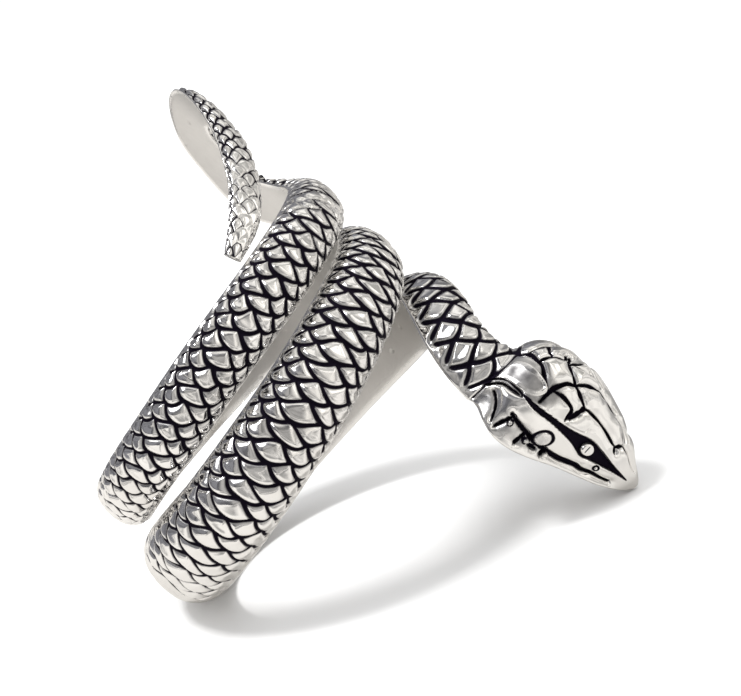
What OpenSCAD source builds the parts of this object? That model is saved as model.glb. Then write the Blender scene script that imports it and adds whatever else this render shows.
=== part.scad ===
// Snake wrap ring: one casting, a snake wound twice round a finger.
// The finger runs along X before the ring is laid down, the head points to +X,
// and the top of the finger, where the head lies, faces +Z.

/* [Finger] */
// Inner diameter of the ring
finger_d = 18; // [16:0.5:20]

/* [Scales] */
// Length of a scale along the body
scale_l = 1.02; // [0.98:0.02:1.4]
// Length of a scale on the slim end of the tail
tail_scale_l = 0.8; // [0.76:0.02:1.2]
// Depth of the grooves between the scales
groove = 0.18; // [0.05:0.01:0.25]
// How far a scale's highest point leans towards the head, in half scales
lean = 0.25; // [0:0.05:0.4]
// Thickness of the body against the tables below
plumpness = 1; // [0.8:0.05:1.2]

/* [Head] */
// Length of the head from the neck to the snout
head_l = 10.4; // [9:0.1:12]
// Widest part of the head, across the cheeks
head_w = 7.9; // [6.4:0.1:8.4]
// Height of the crown above the finger
head_h = 4.8; // [4:0.1:5.2]
// Diameter of an eye
eye_d = 0.9; // [0.6:0.1:1.2]
// Depth of the channel that each eye lies in
eye_channel = 0.25; // [0.1:0.05:0.4]

/* [Resting place] */
// Turn about the finger's line before the ring is laid down
spin = -26.25; // [-90:0.25:90]
// How far the head end is then tipped down
tip = 58.75; // [0:0.25:90]

/* [Hidden] */
finger_r = finger_d / 2;
// Columns of corners across the body: scales stand on the even ones, staggered
columns = 13;
// Width of body at which the scales reach their full length
FULL_WIDTH = 3.5;
// How far the raw body reaches into the finger hole before it is bored
stock = 0.3;
// Roundness of the body's section, where 2 is an ellipse
squareness = 2.3;
// Short pieces of curve between two rows of the route
fineness = 8;

// The snake's route from the tip of the tail to the neck.
// Columns: turn round the finger in degrees, place along it, width, thickness.
// Turn 0 is the top of the finger, and the turn grows towards the near side.
TURN = 0;
ALONG = 1;
WIDTH = 2;
THICK = 3;
ROUTE = [
    [64, -5.5, 1.1, 0.4],
    [50, -6.4, 1.9, 0.6],
    [38, -7.5, 2.2, 0.7],
    [28, -8.7, 2.4, 0.8],
    [17, -10.0, 2.6, 0.8],
    [6, -11.4, 2.8, 0.8],
    [-6, -12.5, 2.9, 0.8],
    [-18, -12.65, 3.0, 0.8],
    [-27, -11.5, 3.1, 0.8],
    [-30, -9.6, 3.2, 0.9],
    [-31, -7.8, 3.3, 1.0],
    [-29, -6.5, 3.4, 1.1],
    [-17, -5.1, 3.5, 1.4],
    [0, -4.2, 3.6, 1.8],
    [45, -3.4, 3.6, 1.7],
    [90, -2.6, 3.6, 1.5],
    [135, -1.5, 3.6, 1.5],
    [180, -0.7, 3.6, 1.5],
    [225, -0.8, 3.7, 1.5],
    [270, -0.9, 3.9, 1.6],
    [315, -0.6, 4.0, 1.7],
    [360, -0.1, 4.2, 1.9],
    [405, 1.0, 4.5, 2.0],
    [450, 2.3, 4.8, 2.1],
    [495, 3.4, 5.1, 2.3],
    [540, 4.1, 5.4, 2.5],
    [585, 4.3, 5.2, 2.6],
    [630, 4.4, 4.9, 2.6],
    [675, 4.3, 4.6, 2.6],
    [705, 4.1, 4.3, 2.7],
    [725, 4.5, 4.1, 2.7],
    [738, 5.7, 3.9, 2.6],
    [744, 7.2, 3.9, 2.6],
    [745, 8.7, 4.2, 2.9]
];

// Outline of the head, in shares of its length, width and height.
// Columns: place from neck to snout, half width, height of crown, height of chin,
// turn off the top of the finger in degrees.
HEAD = [
    [0.00, 0.56, 0.62, 0.00, 25],
    [0.05, 0.62, 0.82, 0.04, 24],
    [0.12, 0.79, 0.93, 0.05, 23],
    [0.20, 0.95, 0.98, 0.05, 21],
    [0.30, 1.00, 1.00, 0.05, 19],
    [0.42, 0.94, 1.00, 0.05, 17],
    [0.56, 0.79, 0.92, 0.08, 16],
    [0.70, 0.62, 0.82, 0.11, 16],
    [0.82, 0.48, 0.70, 0.15, 16],
    [0.92, 0.31, 0.54, 0.21, 16],
    [0.98, 0.15, 0.43, 0.27, 16],
    [1.00, 0.05, 0.38, 0.32, 16]
];

// A smooth curve through rows b and c, with a and d beside them
function curve(a, b, c, d, t) = 0.5 * (2 * b + (c - a) * t
    + (2 * a - 5 * b + 4 * c - d) * t * t
    + (3 * b - a - 3 * c + d) * t * t * t);

// The row of a table, where a row past either end repeats the last one
function row(table, i) = table[max(0, min(len(table) - 1, i))];

// A table drawn finer along its curve
function refine(table, n) = [
    for (i = [0 : len(table) - 2], j = [0 : n - 1])
        curve(row(table, i - 1), row(table, i), row(table, i + 1), row(table, i + 2), j / n),
    table[len(table) - 1]
];

// A point above the finger: its turn, its place along the finger and its height
function place(turn, along, height) = [
    along,
    -(finger_r + height) * sin(turn),
    (finger_r + height) * cos(turn)
];
function on_finger(r) = place(r[TURN], r[ALONG], 0);

function scale_length(width) = lookup(width, [[1, tail_scale_l], [FULL_WIDTH, scale_l]]);

// Running count of half scales at each row of a finely drawn route
function half_scales(rows) = [
    for (i = 0, n = 0; i < len(rows);
        n = i + 1 < len(rows)
            ? n + 2 * norm(on_finger(rows[i + 1]) - on_finger(rows[i])) / scale_length(rows[i][WIDTH])
            : n,
        i = i + 1) n
];

fine_route = refine(ROUTE, fineness);
counts = half_scales(fine_route);
stations = floor(counts[len(counts) - 1]);
function column_of(c) = [for (i = [0 : len(counts) - 1]) [counts[i], fine_route[i][c]]];
turns = column_of(TURN);
alongs = column_of(ALONG);
widths = column_of(WIDTH);
thicks = column_of(THICK);
// The route's row at k half scales from the tip, where the last station is the neck's end
function station(k) =
    let (n = k * counts[len(counts) - 1] / stations)
    [lookup(n, turns), lookup(n, alongs), lookup(n, widths), lookup(n, thicks)];

// A point of a section: across the body from its middle, and above the finger
function lift(base, side, up, across, height) = base + side * across + up * height;

// Height of the finger's surface beside the middle of a section
function sag(across) = sqrt(finger_r * finger_r - across * across) - finger_r;

function power(x, p) = sign(x) * pow(abs(x), p);

function angle_of(j) = 180 * j / (columns - 1);

// A scale stands on an even column, on every other section
function is_scale(k, j) = j % 2 == 0 && (j / 2 + k) % 2 == 0;
function is_edge(j) = j == 0 || j == columns - 1;

// One corner of the body's skin, k half scales from the tip of the tail.
// Odd columns are set half a step on, so that the grooves run straight between the scales.
function body_corner(k, j) =
    let (
        at = min(stations, k + (j % 2 == 1 ? 0.5 : is_scale(k, j) ? lean : 0)),
        here = station(at),
        ahead = on_finger(station(min(at + 1, stations))) - on_finger(station(max(at - 1, 0))),
        up = place(here[TURN], 0, 1 - finger_r),
        side = cross(up, ahead) / norm(cross(up, ahead)),
        low = sag(side * place(here[TURN] + 90, 0, 1 - finger_r) * here[WIDTH] / 2),
        a = angle_of(j),
        sunk = is_edge(j) || is_scale(k, j) ? 0 : groove,
        across = (here[WIDTH] / 2 - sunk) * power(cos(a), 2 / squareness),
        height = (here[THICK] * plumpness - sunk) * power(sin(a), 2 / squareness)
    )
    j < columns
        ? lift(on_finger(here), side, up, across, height + low * (1 - sin(a)))
        : lift(on_finger(here), side, up, (2 * (j - columns) - 1) * here[WIDTH] / 2, low - stock);

// One section: the columns of the skin, then two corners inside the finger hole
function body_section(k) = [for (j = [0 : columns + 1]) body_corner(k, j)];

fine_head = refine(HEAD, 3);
neck = station(stations);
// Column of corners along which each eye's channel runs, counted from either side
EYE_COLUMN = 2;
// The channel's ends and the eye's place, in shares of the head's length
CHANNEL = [0.2, 0.93];
EYE_PLACE = 0.645;
// Where each eye stands on the head's section, in degrees up from the jaw
EYE_ANGLE = 23;

// Depth to which a corner of the head is sunk
function sunk_head(share, j) =
    (j == EYE_COLUMN || j == columns - 1 - EYE_COLUMN) && share > CHANNEL[0] && share < CHANNEL[1]
        ? eye_channel
        : 0;

// One corner of the head's skin, at an angle round its section
function head_point(h, a, sunk) =
    let (
        up = place(h[4], 0, 1 - finger_r),
        side = -place(h[4] + 90, 0, 1 - finger_r),
        base = place(h[4], neck[ALONG] + h[0] * head_l, 0),
        half = h[1] * head_w / 2,
        chin = h[3] * head_h,
        across = (half - sunk) * power(cos(a), 2 / squareness),
        height = (h[2] * head_h - chin - sunk) * power(sin(a), 2 / squareness)
    )
    lift(base, side, up, across, chin + height + sag(half) * (1 - sin(a)));

// The head's underside on one side, inside the finger hole wherever the chin lies on the finger
function head_stock(h, s) =
    let (
        half = h[1] * head_w / 2,
        sunk = stock * (1 - min(1, h[3] * 5))
    )
    lift(
        place(h[4], neck[ALONG] + h[0] * head_l, 0),
        -place(h[4] + 90, 0, 1 - finger_r),
        place(h[4], 0, 1 - finger_r),
        s * half,
        sag(half) + h[3] * head_h - sunk
    );

// One section of the head
function head_section(h) = concat(
    [for (j = [0 : columns - 1]) head_point(h, angle_of(j), sunk_head(h[0], j))],
    [for (s = [-1, 1]) head_stock(h, s)]
);

sections = concat(
    [for (k = [0 : stations]) body_section(k)],
    [for (i = [1 : len(fine_head) - 1]) head_section(fine_head[i])]
);

// Faces between neighbouring sections: each square is split along its groove
function skin(n, m) = [
    for (k = [0 : n - 2], j = [0 : m - 1])
        let (
            a = k * m + j,
            b = k * m + (j + 1) % m,
            c = b + m,
            d = a + m
        )
        each j % 2 == 0 ? [[a, d, b], [b, d, c]] : [[a, c, b], [a, d, c]]
];
function caps(n, m) = [
    [for (j = [0 : m - 1]) j],
    [for (j = [m - 1 : -1 : 0]) (n - 1) * m + j]
];

module raw_snake() {
    m = columns + 2;
    n = len(sections);
    polyhedron(
        points = [for (s = sections) each s],
        faces = concat(skin(n, m), caps(n, m)),
        convexity = 10
    );
}

// The section of the head that carries the eyes
eye_row = [for (h = fine_head) if (h[0] >= EYE_PLACE) h][0];

module eyes() {
    for (a = [EYE_ANGLE, 180 - EYE_ANGLE])
        translate(head_point(eye_row, a, eye_channel))
            sphere(d = eye_d, $fn = 24);
}

// The finger, with its seam along the top, where each turn of the snake starts and ends
module finger() {
    rotate([0, -90, 0])
        cylinder(r = finger_r, h = 4 * finger_d, center = true, $fn = 180);
}

module snake() {
    color("silver")
        rotate([0, tip, 0])
            rotate([spin, 0, 0])
                difference() {
                    union() {
                        raw_snake();
                        eyes();
                    }
                    finger();
                }
}

snake();
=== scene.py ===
"""Dresses the snake wrap ring: a cast silver snake wound twice round a finger, lying at rest."""

import bpy
import numpy as np
from mathutils import Matrix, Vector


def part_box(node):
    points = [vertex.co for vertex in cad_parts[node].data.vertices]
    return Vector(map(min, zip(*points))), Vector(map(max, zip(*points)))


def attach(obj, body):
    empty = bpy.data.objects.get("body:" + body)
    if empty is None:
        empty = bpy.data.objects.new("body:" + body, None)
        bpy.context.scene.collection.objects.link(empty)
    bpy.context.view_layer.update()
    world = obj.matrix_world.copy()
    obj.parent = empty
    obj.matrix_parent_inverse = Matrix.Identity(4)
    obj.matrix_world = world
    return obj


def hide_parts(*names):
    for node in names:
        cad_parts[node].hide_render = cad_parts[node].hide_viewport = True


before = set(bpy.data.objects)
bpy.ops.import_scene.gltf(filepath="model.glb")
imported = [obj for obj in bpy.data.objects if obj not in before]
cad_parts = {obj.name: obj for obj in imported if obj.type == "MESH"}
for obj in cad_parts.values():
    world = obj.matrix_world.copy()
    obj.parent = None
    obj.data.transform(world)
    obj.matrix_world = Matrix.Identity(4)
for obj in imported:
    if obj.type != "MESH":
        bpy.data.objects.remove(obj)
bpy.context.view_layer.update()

# Sizes are in millimetres and angles in degrees, in the ring's own directions: the finger runs
# along X, the top of the finger faces +Z and the near side faces -Y.
MM = 0.001
FINGER_R = 9.0

# How the ring lies: turned about the finger, then tipped over onto its side
SPIN = -26.25
TIP = 58.75

# The snake's route from the tip of the tail to the neck.
# Columns: turn round the finger in degrees, place along it, width, thickness.
TURN, ALONG, WIDTH, THICK = range(4)
ROUTE = np.array([
    [64, -5.5, 1.1, 0.4],
    [50, -6.4, 1.9, 0.6],
    [38, -7.5, 2.2, 0.7],
    [28, -8.7, 2.4, 0.8],
    [17, -10.0, 2.6, 0.8],
    [6, -11.4, 2.8, 0.8],
    [-6, -12.5, 2.9, 0.8],
    [-18, -12.65, 3.0, 0.8],
    [-27, -11.5, 3.1, 0.8],
    [-30, -9.6, 3.2, 0.9],
    [-31, -7.8, 3.3, 1.0],
    [-29, -6.5, 3.4, 1.1],
    [-17, -5.1, 3.5, 1.4],
    [0, -4.2, 3.6, 1.8],
    [45, -3.4, 3.6, 1.7],
    [90, -2.6, 3.6, 1.5],
    [135, -1.5, 3.6, 1.5],
    [180, -0.7, 3.6, 1.5],
    [225, -0.8, 3.7, 1.5],
    [270, -0.9, 3.9, 1.6],
    [315, -0.6, 4.0, 1.7],
    [360, -0.1, 4.2, 1.9],
    [405, 1.0, 4.5, 2.0],
    [450, 2.3, 4.8, 2.1],
    [495, 3.4, 5.1, 2.3],
    [540, 4.1, 5.4, 2.5],
    [585, 4.3, 5.2, 2.6],
    [630, 4.4, 4.9, 2.6],
    [675, 4.3, 4.6, 2.6],
    [705, 4.1, 4.3, 2.7],
    [725, 4.5, 4.1, 2.7],
    [738, 5.7, 3.9, 2.6],
    [744, 7.2, 3.9, 2.6],
    [745, 8.7, 4.2, 2.9],
], float)
ROUTE_STEPS = 6000

# The power of the squarish half ellipse that every section is
SQUARENESS = 2.3
# The rounding of a section's lower corners, and the most that it takes of the half width
EDGE_ROUND = 0.16
CORNER_SHARE = 0.3

# Length of a scale by the width of the body there, from the tip of the tail to the full body
TAIL_WIDTH = 1.0
TAIL_SCALE_L = 0.8
FULL_WIDTH = 3.5
SCALE_L = 1.02

# Scales stand in columns this far apart. The front edge of each is bowed by this power, less at
# the neck, where the scales are nearly straight-sided diamonds.
COLUMN_ANGLE = 30.0
BOW = 1.9
NECK_BOW_LESS = 0.55
# Shares of the body's length between which its scales turn into the neck's
NECK_SPAN = (0.84, 0.90)
# The way over the top of a section, as a share of its half width and thickness together
SECTION_ARC = 1.45
# Slow waves that bend the lattice of scales: height, then radians for each half scale along
# and for each column across
SWAY_ACROSS = ((0.09, 1.9, 1.3), (0.06, 0.83, -2.1))
SWAY_ALONG = (0.13, 1.27, 2.3)

# Depth of the grooves between scales, and how far the scales' tops lie below the plain skin
GROOVE = 0.24
TOP_SINK = 0.035
# How a full scale's top rises from its borders: reach, how much less at the neck, and power
FRONT_SHAPE = (0.29, 0.05, 2)
REAR_SHAPE = (0.43, 0.17, 1.8)
# Height of a scale's top at the rear, its rise to the front, and the drop of its side corners,
# which lie this far from the scale's middle
REAR_HEIGHT = 0.88
FRONT_RISE = 0.12
CORNER_DROP = 0.35
CORNER_SPAN = (0.7, 1.1)
# What varies from scale to scale, as shares of its height: a lean, a dimple and the height itself
PLAIN_HEIGHT = 0.92
LEAN = 0.4
DIMPLE = 0.4
DIMPLE_R = 0.46
DIMPLE_GAIN = 1.5
NO_DIMPLE_BELOW = 0.35
HEIGHT_SCATTER = 0.07
# One number for each thing that is drawn at random for a scale, then the radians that its
# centre, its column and that number count for, and the gain whose fraction is the draw
ACROSS_DRAW, ALONG_DRAW, DIMPLE_DRAW, HEIGHT_DRAW, WORN_DRAW, TAIL_DRAW = range(1, 7)
HASH_STEPS = (12.9898, 78.233, 37.719)
HASH_GAIN = 43758.5453

# Worn places, each as a turn round the finger and a half width: under the finger on every coil,
# and on the first coil where the tail lies beside it, between these shares of the body's length
WORN_UNDER = (188, 34)
WORN_BY_TAIL = (22, 20)
WORN_BY_TAIL_MOST = 0.75
PAST_TAIL = (0.17, 0.2)
WORN_SHALLOW = 0.6
# Body widths between which the thin tail's shallow, blurred scales turn into full ones
THIN_SPAN = (2.0, 2.7)
THIN_SHALLOW = 0.55
# The least and the most of the full groove that the body's width gives
DEPTH_LIMITS = (0.4, 1.05)
# Angles from a section's edges between which the scales' relief comes in
EDGE_SPAN = (2, 11)

# How far tarnish climbs out of the grooves, how much further at the neck, and how much closer
# it lies to a scale's side corners
DARK_REACH = 0.18
NECK_DARK_MORE = 0.01
DARK_CORNER = 0.4
# The distance to the edges behind a scale counts as this share of itself, plus this much
REAR_DARK = (0.8, 0.02)
# The least share of its tarnish that a scale loses, and the draw above which it loses all of it
WORN_CLEAN = (0.25, 0.6)
THIN_CLEAN = (0.3, 0.5)

HEAD_L = 10.4
HEAD_W = 7.9
HEAD_H = 4.8
# Outline of the head, in shares of its length, width and height.
# Columns: place from neck to snout, half width, crown, chin, turn in degrees.
PLACE, HALF, CROWN, CHIN, HEAD_TURN = range(5)
HEAD = np.array([
    [0.00, 0.56, 0.62, 0.00, 25],
    [0.05, 0.62, 0.82, 0.04, 24],
    [0.12, 0.79, 0.93, 0.05, 23],
    [0.20, 0.95, 0.98, 0.05, 21],
    [0.30, 1.00, 1.00, 0.05, 19],
    [0.42, 0.94, 1.00, 0.05, 17],
    [0.56, 0.79, 0.92, 0.08, 16],
    [0.70, 0.62, 0.82, 0.11, 16],
    [0.82, 0.48, 0.70, 0.15, 16],
    [0.92, 0.31, 0.54, 0.21, 16],
    [0.98, 0.15, 0.43, 0.27, 16],
    [1.00, 0.05, 0.38, 0.32, 16],
], float)
HEAD_STEPS = 4000
# Shares of the head's length over which its form and its relief take over from the neck's
FORM_BLEND = 0.1
RELIEF_BLEND = 0.02

# Grooves between the plates of the head, on the near side.
# Each point is a place from neck to snout and an angle round the head's section,
# where 180 is the near jaw. MIDLINE is the angle of the crown's middle.
MIDLINE = 104.0
PLATE_LINES = {
    "temple": [(0, 95), (0.035, 104), (0.09, 115), (0.14, 120), (0.175, 126),
               (0.205, 132), (0.235, 136), (0.268, 139)],
    "parietal_back": [(0.12, 118), (0.125, 112), (0.15, 106), (0.19, 102), (0.24, 100)],
    "parietal_front": [(0.36, 122), (0.32, 124), (0.295, 129), (0.277, 134),
                       (0.27, 140), (0.267, 148)],
    "crown_back": [(0.24, 100), (0.265, 104), (0.29, 109), (0.33, 116), (0.36, 122)],
    "crown_front": [(0.36, 122), (0.4, 116), (0.44, 111), (0.49, 106)],
    "crown_side": [(0.65, 104), (0.69, 105.5), (0.73, 109), (0.765, 116), (0.785, 124)],
    "snout_side": [(0.785, 124), (0.82, 122), (0.87, 121), (0.93, 119)],
    "brow_back": [(0.36, 122), (0.39, 124.5), (0.43, 128.5), (0.485, 133.5)],
    "brow": [(0.485, 133.5), (0.56, 132), (0.62, 132.5), (0.68, 133.5), (0.72, 135), (0.755, 136)],
    "nasal": [(0.785, 124), (0.768, 131), (0.755, 136), (0.765, 139), (0.775, 142)],
    "behind_eye": [(0.485, 133.5), (0.473, 140), (0.458, 148)],
    "side_plates": [(0.285, 136), (0.34, 136), (0.385, 138), (0.43, 141), (0.445, 146),
                    (0.44, 150)],
    "nape_side": [(0.0, 151), (0.05, 150), (0.1, 150), (0.18, 151)],
    "jaw_fold": [(0.05, 164), (0.1, 170), (0.14, 177)],
    "cheek_fold": [(0.0, 161), (0.05, 155), (0.1, 153.5), (0.17, 152)],
    "mouth": [(0.195, 164.5), (0.23, 165.5), (0.28, 167), (0.325, 168.5), (0.37, 170),
              (0.44, 172.5), (0.5, 174), (0.56, 175), (0.61, 174.5), (0.66, 174),
              (0.7, 174.5), (0.755, 173), (0.805, 173), (0.86, 172.5)],
    "lip_back": [(0.21, 166), (0.195, 170), (0.18, 173.5), (0.17, 176.5)],
    "lip_middle": [(0.33, 169.5), (0.325, 173.5), (0.322, 177.5)],
    "lip_front": [(0.47, 173), (0.475, 176.5), (0.482, 178.5)],
    "lip_dash": [(0.385, 174), (0.43, 175)],
}
# Grooves that run along or across the crown's middle, so they have no twin
MIDDLE_LINES = {
    "crown_middle": [(0.49, 105), (0.55, 104), (0.6, 104), (0.66, 104)],
    "crown_crease": [(0.29, 101), (0.34, 98), (0.4, 99)],
    "nape_front": [(0.225, 92), (0.235, 101)],
    "nape_back": [(0.25, 92), (0.257, 101)],
}
# Lines that are wider or finer than the rest, as shares of the usual width
LINE_WEIGHT = {
    "parietal_front": 1.45,
    "behind_eye": 1.3,
    "crown_middle": 1.25,
    "crown_front": 1.2,
    "temple": 1.2,
    "mouth": 1.15,
    "brow": 0.8,
    "crown_crease": 0.8,
    "nasal": 0.75,
    "jaw_fold": 0.7,
    "crown_side": 0.65,
    "snout_side": 0.55,
    "nape_side": 0.5,
    "cheek_fold": 0.4,
}
LINE_STEPS = 6
LINE_DEPTH = 0.17
LINE_HALF_WIDTH = 0.1
DARK_LINE_HALF_WIDTH = 1.15 * LINE_HALF_WIDTH
# A groove's width at its ends as a share of its full width, and the share of its length over
# which it fills out. Its width wavers by a share, in radians over its length and by its place.
LINE_ENDS = 0.5
LINE_TAPER = 0.2
LINE_WAVER = (0.2, 11, 40)
# The plates swell between the grooves, steeply beside them and then more gently: rise and reach
PLATE_SWELL = ((0.14, 0.2), (0.2, 0.5))
# A piece of a line is measured this share of the head's length to either side of it, and what
# lies further counts as this many millimetres off
LINE_SPAN = 0.09
FAR_OFF = 9.0

# The dark channel along each side of the head, as place, angle and half width
CHANNEL = np.array([
    [0.17, 150.5, 0.05],
    [0.26, 152.5, 0.15],
    [0.35, 154.0, 0.15],
    [0.45, 156.0, 0.19],
    [0.54, 157.0, 0.32],
    [0.59, 157.5, 0.48],
    [0.64, 158.5, 0.60],
    [0.69, 158.0, 0.46],
    [0.75, 157.5, 0.32],
    [0.81, 157.0, 0.18],
    [0.87, 156.0, 0.10],
    [0.92, 155.0, 0.05],
])
CHANNEL_STEPS = 60
CHANNEL_DEPTH = 0.3
CHANNEL_RIM = 0.05
# The channel's wall, and its rim's middle and half width, in shares of the channel's half width
CHANNEL_WALL = (0.72, 1.08)
CHANNEL_RIM_AT = (1.3, 0.3)
# Half widths at which the channel starts to have a rim and reaches its full depth, and the
# least that its own half width counts as
RIM_FROM = 0.05
FULL_DEPTH_FROM = 0.2
CHANNEL_LEAST = 0.03

# The eye: place and angle, radius, and how far it stands out of the plain skin
EYE = (0.64, 158.5)
EYE_R = 0.41
EYE_RISE = 0.12
# The dark round the eye and the ends of its slit, in shares of its radius
EYE_DARK = (0.9, 1.0)
SLIT_ENDS = (0.45, 0.75)
# The slit lies this share of the head's length behind the eye's middle
SLIT_BACK = 0.007
SLIT_HALF_WIDTH = 0.045
SLIT_DEPTH = 0.04
# How dark the slit is: tarnish in its shallow groove, and also a painted reflection across the eye
SLIT_TARNISH_AND_REFLECTION = 0.7

# Round marks: place, angle, radius and how far the middle stands up
RING_MARK = (0.415, 167.5, 0.5, 0.10)
NOSTRIL = (0.745, 167.0, 0.15, 0.03)
# The groove round a mark: its least half width, and what it gains with the mark's radius
MARK_LINE = (0.05, 0.08)
# The share of a mark's radius within which its middle is plain
MARK_MIDDLE = 0.75

# Small beads under the mouth, as place and angle
BEADS = ((0.222, 168.8), (0.357, 172.6), (0.487, 175.6))
BEAD_R = 0.14
BEAD_SINK = 0.05
BEAD_RISE = 0.09
# The dark round a bead, in shares of its radius: middle and half width
BEAD_DARK = (1.25, 0.35)

# The long oval boss on each temple: place, angle, half length, half width and rise of its rim
TEMPLE_BOSS = (0.112, 140.0, 1.32, 0.56, 0.2)
# The power of the boss's squarish oval, and the half width of its rim
BOSS_POWER = 2.4
BOSS_RIM = 0.13
# The share of its outline that its very middle counts as, so that nothing is divided by 0
BOSS_MIDDLE = 0.05
# How far the boss's top stands up, and the share of the relief that it smooths away
BOSS_TOP = 0.03
BOSS_SMOOTHS = 0.7
# The end towards the neck is heaped up by this much, and no more beyond this many half lengths
BOSS_HEEL = 0.16
HEEL_REACH = 1.2
# Where the top, the heel and the band of painted shade round the boss end, in shares of its outline, and
# how dark the painted shade on the top and on the band is
BOSS_TOP_END = (0.75, 1.0)
HEEL_END = (1.0, 1.3)
BOSS_SHADE_END = (1.6, 2.5)
BOSS_TOP_SHADE = 0.45
BOSS_BAND_SHADE = 0.43

# Painted shade over the jaw, growing by angle towards its lower edge, which ends along the head, by place
JAW_PAINTED_SHADE = 0.35
JAW_SHADE_FROM = (157, 166)
JAW_SHADE_END = (0.4, 0.6)
# The groove across the nape: millimetres from the neck, half width and depth
NAPE = (0.12, 0.11)
NAPE_DEPTH = 0.16
# Where the relief dies away, by place at the snout and by angle from the jaws
SNOUT_END = (0.96, 0.995)
JAW_SPAN = (1.0, 4.0)
# The most that the head's relief stands out of its plain skin
MOST_PROUD = 0.3

# How finely the skin is drawn. Angles are closer together at a section's two edges, and the
# head's rows are closer together towards the snout, by a power.
ROWS_PER_SCALE = 14
BODY_ANGLES = 116
HEAD_ANGLES = 250
HEAD_ROWS = 300
INNER_COLUMNS = 14
EDGE_ANGLES = np.array([0, 0.3, 0.8, 1.5, 2.4])
FIRST_EVEN_ANGLE = 3.5
SNOUT_CROWDING = 1.25

# Stretches of the body, as shares of its length
STRETCHES = {
    "tail": (0.0, 0.30),
    "first_coil": (0.30, 0.56),
    "second_coil": (0.56, 0.80),
    "neck": (0.80, 1.0),
}
# Rows of the head that follow the body's last one, and counts before the head's first one, so
# that the two sides of the cut have the same normals
HEAD_RUN_ON = np.array([0.002, 0.004])
NECK_RUN_UP = np.array([0.3, 0.15, 0.0])

# Point attributes of the skin that the finishes read
# The dark layer holds tarnish in the grooves, and also painted shade on the jaw and round the temple bosses
# and a painted reflection in each eye's slit
TARNISH_AND_SHADE_LAYER = "groove"
INNER_LAYER = "inner_face"

# Colours of the metal: polished, under a thin veil, satin inside the finger hole, and tarnished, the last
# also used as painted shade on the jaw and round the temple bosses and as a painted reflection in each eye's
# slit
POLISHED = (0.93, 0.92, 0.905)
VEILED = (0.62, 0.60, 0.57)
SATIN = (0.68, 0.665, 0.645)
TARNISH_AND_SHADE_COLOUR = (0.013, 0.010, 0.019)
# The dark mask's values between which the metal turns dark, and how ragged that border is. The mask holds
# tarnish in the grooves and painted shade on the head.
TARNISH_SPAN = (0.22, 0.6)
RAGGEDNESS = 0.25
# Patterns on the metal: waves for each metre, and detail. The pits have no detail.
PATCHES = (1400.0, 3.0)
CLOUDS = (260.0, 4.0)
MARKS = (1500.0, 5.0)
WAVES = (420.0, 2.0)
PIT_SCALE = 900.0
# The patterns' values between which the clouds, the marks and the pits come in
CLOUD_SPAN = (0.35, 0.75)
MARK_SPAN = (0.3, 0.7)
PIT_SPAN = (0.06, 0.16)
# Polishing marks are drawn out along one direction and turned out of the ring's own
MARK_STRETCH = (1.0, 6.0, 1.6)
MARK_TURN = (0.4, 0.7, 0.2)
# Roughness of the polished metal, of the satin and of the tarnish
POLISHED_ROUGHNESS = (0.07, 0.17)
SATIN_ROUGHNESS = (0.30, 0.42)
TARNISH_ROUGHNESS = 0.75
# Shares of the bump's height that the marks, the waves and the satin's pits take
MARK_HEIGHT = 0.10
WAVE_HEIGHT = 0.8
PIT_HEIGHT = 0.5
# The veil over the metal, and the bump's height, on the body and on the head
BODY_VEIL = 0.35
HEAD_VEIL = 0.15
BODY_BUMP = 0.04
HEAD_BUMP = 0.03

# The camera's direction and roll seen from the ring's near side, its place across, above and in
# front of the ring, its lens, and the nearest that it sees
VIEW_TURN = 5.0
VIEW_DROP = -3.0
VIEW_ROLL = 43.0
CAMERA_PLACE = (3.5165, 5.8956, 120.0)
LENS = 106.1
SENSOR_WIDTH = 36.0
NEAREST_SEEN = 5.0

# The floor, a disc in metres, with its rim a little higher than its middle. Its rows lie at the
# squares of even steps from the first row's to 1.
FLOOR_R = 1.5
FLOOR_RISE = 0.02
FLOOR_ROWS = 60
FLOOR_SIDES = 96
FLOOR_FIRST_ROW = 0.0005
FLOOR_ROUGHNESS = 0.9
# What the camera sees of it, and a darker mottled colour that every other ray finds, a painted reflection
# for the metal to mirror: a pattern's waves for each metre and its detail, then its values with their
# colours
PALE_FLOOR = ((40.0, 3.0), ((0.3, (0.90, 0.90, 0.90)), (0.7, (0.93, 0.93, 0.925))))
PAINTED_FLOOR_REFLECTION = ((26.0, 2.0), ((0.40, (0.22, 0.215, 0.21)), (0.54, (0.66, 0.64, 0.61))))

# The room that the metal reflects: its shaded side, and over it, in this order, patches that
# each have a direction in the camera's axes (across, up and towards the viewer), the cosines of
# the angles from it between which the patch comes in, and a colour
SHADED_SIDE = (0.22, 0.22, 0.24)
ROOM = {
    "lit_side": ((0.85, -0.5, 0.0), (-0.4, 0.45), (0.9, 0.87, 0.82)),
    "ceiling": ((0.25, 1.0, 0.05), (0.68, 0.93), (0.98, 0.96, 0.92)),
    "round_the_camera": ((0.0, 0.15, 1.0), (0.8, 0.95), (0.42, 0.41, 0.40)),
    "far_window": ((0.6, 0.7, 0.4), (0.93, 0.95), (1.35, 1.32, 1.26)),
    "near_window": ((-0.62, 0.62, 0.5), (0.948, 0.963), (2.4, 2.4, 2.4)),
}
# The room's mottling: waves and detail, the pattern's values, and the brightness at each
MOTTLE = (2.3, 2.0)
MOTTLE_SPAN = (0.42, 0.56)
MOTTLE_BRIGHTNESS = (0.5, 1.12)
BACKGROUND = (1.0, 1.0, 1.0)

# The key light: direction in the camera's axes, then distance and size in metres, and watts
KEY_DIRECTION = (-0.7, 0.9, 0.5)
KEY_DISTANCE = 0.5
KEY_SIZE = 0.1
KEY_WATTS = 1.6
# Roughly up, to set the light's square by
UPWARD = (0.1, 0.2, 1.0)


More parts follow.
